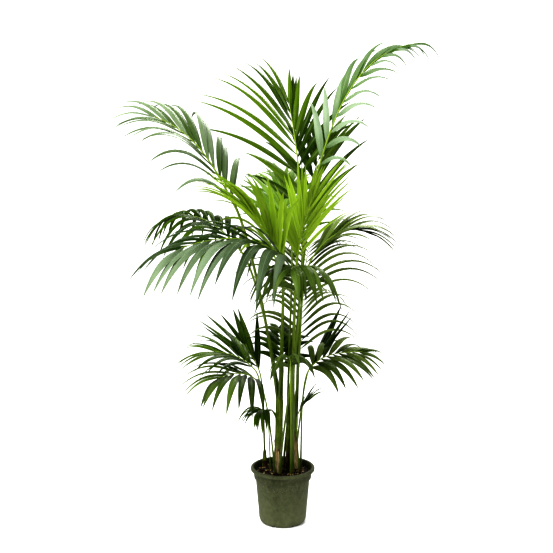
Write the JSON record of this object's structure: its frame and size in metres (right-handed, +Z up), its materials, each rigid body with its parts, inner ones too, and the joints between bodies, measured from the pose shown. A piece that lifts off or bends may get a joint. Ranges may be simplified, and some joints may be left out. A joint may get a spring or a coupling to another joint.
{
  "type": "potted kentia palm",
  "caption": "Tall clump of kentia palm with arching feathered fronds on slim green stalks, growing in a round tapered nursery pot filled with bark mix.",
  "frame": {"origin": "centre of the pot's flat underside", "axes": "+Z up along the pot's axis, -Y towards the front view, +X to that view's right"},
  "size_m": [1.2435, 1.0292, 1.7947],
  "materials": {
    "pot": "dull olive green moulded plastic",
    "soil": "dark damp bark and coir mix",
    "stem": "fibrous dry leaf sheaths, tan to dark brown over green",
    "stalk": "smooth green leaf stalk with a slight sheen",
    "frond_deep": "deep green leaflets with a soft waxy sheen",
    "frond_bright": "young yellow green leaflets with a soft sheen"
  },
  "bodies": {
    "root": {"pot": "pot", "soil": "soil", "stem_front": "stem", "stem_right": "stem", "stem_side": "stem", "stem_back_left": "stem", "stalk_top_right": "stalk", "stalk_top_centre": "stalk", "stalk_back_right": "stalk", "stalk_upper_left": "stalk", "stalk_mid_left": "stalk", "stalk_front_left": "stalk", "stalk_front_centre": "stalk", "stalk_bright_left": "stalk", "stalk_pale_back": "stalk", "stalk_bright_right": "stalk", "stalk_mid_right": "stalk", "stalk_low_right_up": "stalk", "stalk_back_mid": "stalk", "stalk_back_low": "stalk", "stalk_back_high": "stalk", "stalk_back_left": "stalk", "stalk_low_left_up": "stalk", "stalk_low_left": "stalk", "stalk_low_left_front": "stalk", "stalk_low_right": "stalk", "stalk_low_front": "stalk", "stalk_small_left": "stalk", "stalk_small_right": "stalk", "frond_top_right": "frond_deep", "frond_top_centre": "frond_deep", "frond_back_right": "frond_deep", "frond_upper_left": "frond_deep", "frond_mid_left": "frond_deep", "frond_front_left": "frond_deep", "frond_front_centre": "frond_deep", "frond_bright_left": "frond_bright", "frond_pale_back": "frond_bright", "frond_bright_right": "frond_bright", "frond_mid_right": "frond_deep", "frond_low_right_up": "frond_deep", "frond_back_mid": "frond_deep", "frond_back_low": "frond_deep", "frond_back_high": "frond_deep", "frond_back_left": "frond_deep", "frond_low_left_up": "frond_deep", "frond_low_left": "frond_deep", "frond_low_left_front": "frond_deep", "frond_low_right": "frond_deep", "frond_low_front": "frond_deep", "frond_small_left": "frond_deep", "frond_small_right": "frond_deep"}
  },
  "joints": []
}
